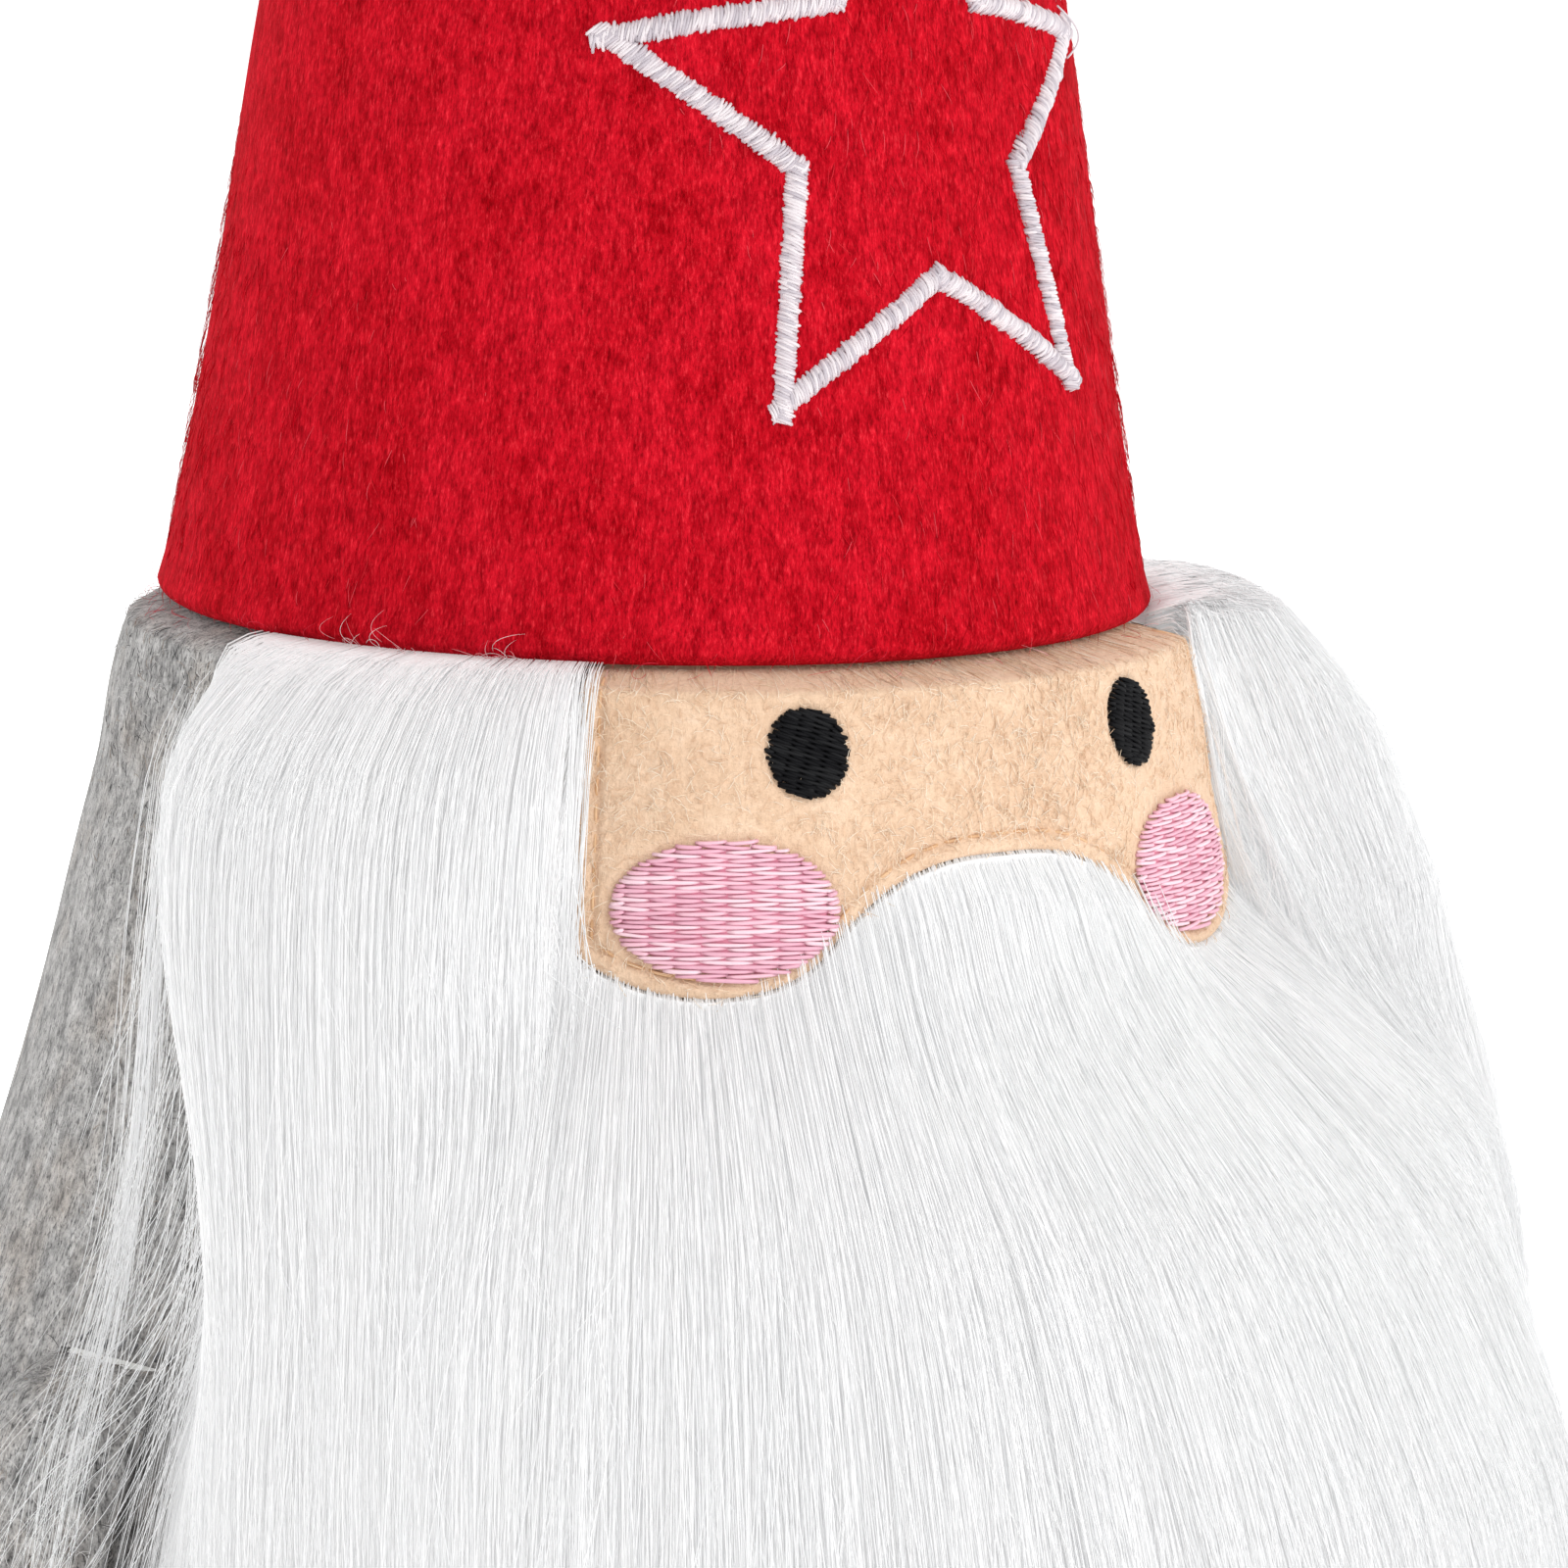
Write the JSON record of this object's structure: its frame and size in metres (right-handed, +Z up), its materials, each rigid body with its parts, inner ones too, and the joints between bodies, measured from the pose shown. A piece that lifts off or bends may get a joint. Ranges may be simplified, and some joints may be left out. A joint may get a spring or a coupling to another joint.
{
  "type": "gnome figurine",
  "caption": "Stuffed felt gnome with a tall red cone hat bearing an embroidered star, a felt face, a long white beard and a weighted grey body with side arms.",
  "frame": {"origin": "centre of the flat base, on the surface it stands on", "axes": "+Z up through the hat's tip, -Y out of the face, +X to the figure's left hand side"},
  "size_m": [0.2004, 0.1938, 0.4717],
  "materials": {
    "grey_felt": "mottled wool felt",
    "board": "matt board",
    "grey_thread": "sewing thread",
    "bag_cloth": "plain woven cloth",
    "pellets": "loose pellets",
    "stuffing": "loose fibre",
    "face_felt": "brushed felt",
    "face_thread": "sewing thread",
    "black_thread": "embroidery thread, slight sheen",
    "pink_thread": "embroidery thread, silky",
    "beard_backing": "knitted backing",
    "beard_fur": "long fake fur",
    "red_fleece": "brushed fleece",
    "red_thread": "sewing thread",
    "white_thread": "satin stitch, silky",
    "stabiliser": "non-woven sheet"
  },
  "bodies": {
    "body": {"body_cover": "grey_felt", "base_panel": "grey_felt", "base_board": "board", "base_seam_thread": "grey_thread", "body_back_thread": "grey_thread", "arm_left_thread": "grey_thread", "arm_right_thread": "grey_thread", "ballast_bag": "bag_cloth", "ballast_fill": "pellets", "body_stuffing": "stuffing", "hat_stuffing": "stuffing", "face_patch": "face_felt", "face_topstitch": "face_thread", "eye_left": "black_thread", "eye_right": "black_thread", "cheek_left": "pink_thread", "cheek_right": "pink_thread", "beard_backing": "beard_backing", "beard_pile": "beard_fur", "hat_cover": "red_fleece", "hat_back_thread": "red_thread", "hat_brim_thread": "red_thread", "star_outline": "white_thread", "star_stabiliser": "stabiliser"},
    "arm_left": {"arm_left_outer_panel": "grey_felt", "arm_left_inner_panel": "grey_felt", "arm_left_stuffing": "stuffing"},
    "arm_right": {"arm_right_outer_panel": "grey_felt", "arm_right_inner_panel": "grey_felt", "arm_right_stuffing": "stuffing"}
  },
  "joints": [
    {"name": "arm_left_swing", "type": "hinge", "parent": "body", "child": "arm_left", "pos_m": [0.07165, -0.01007, 0.11], "axis": [-0.1392, -0.9903, 0], "range_deg": [0, 60]},
    {"name": "arm_right_swing", "type": "hinge", "parent": "body", "child": "arm_right", "pos_m": [-0.07165, -0.01007, 0.11], "axis": [-0.1392, 0.9903, 0], "range_deg": [0, 60]}
  ]
}
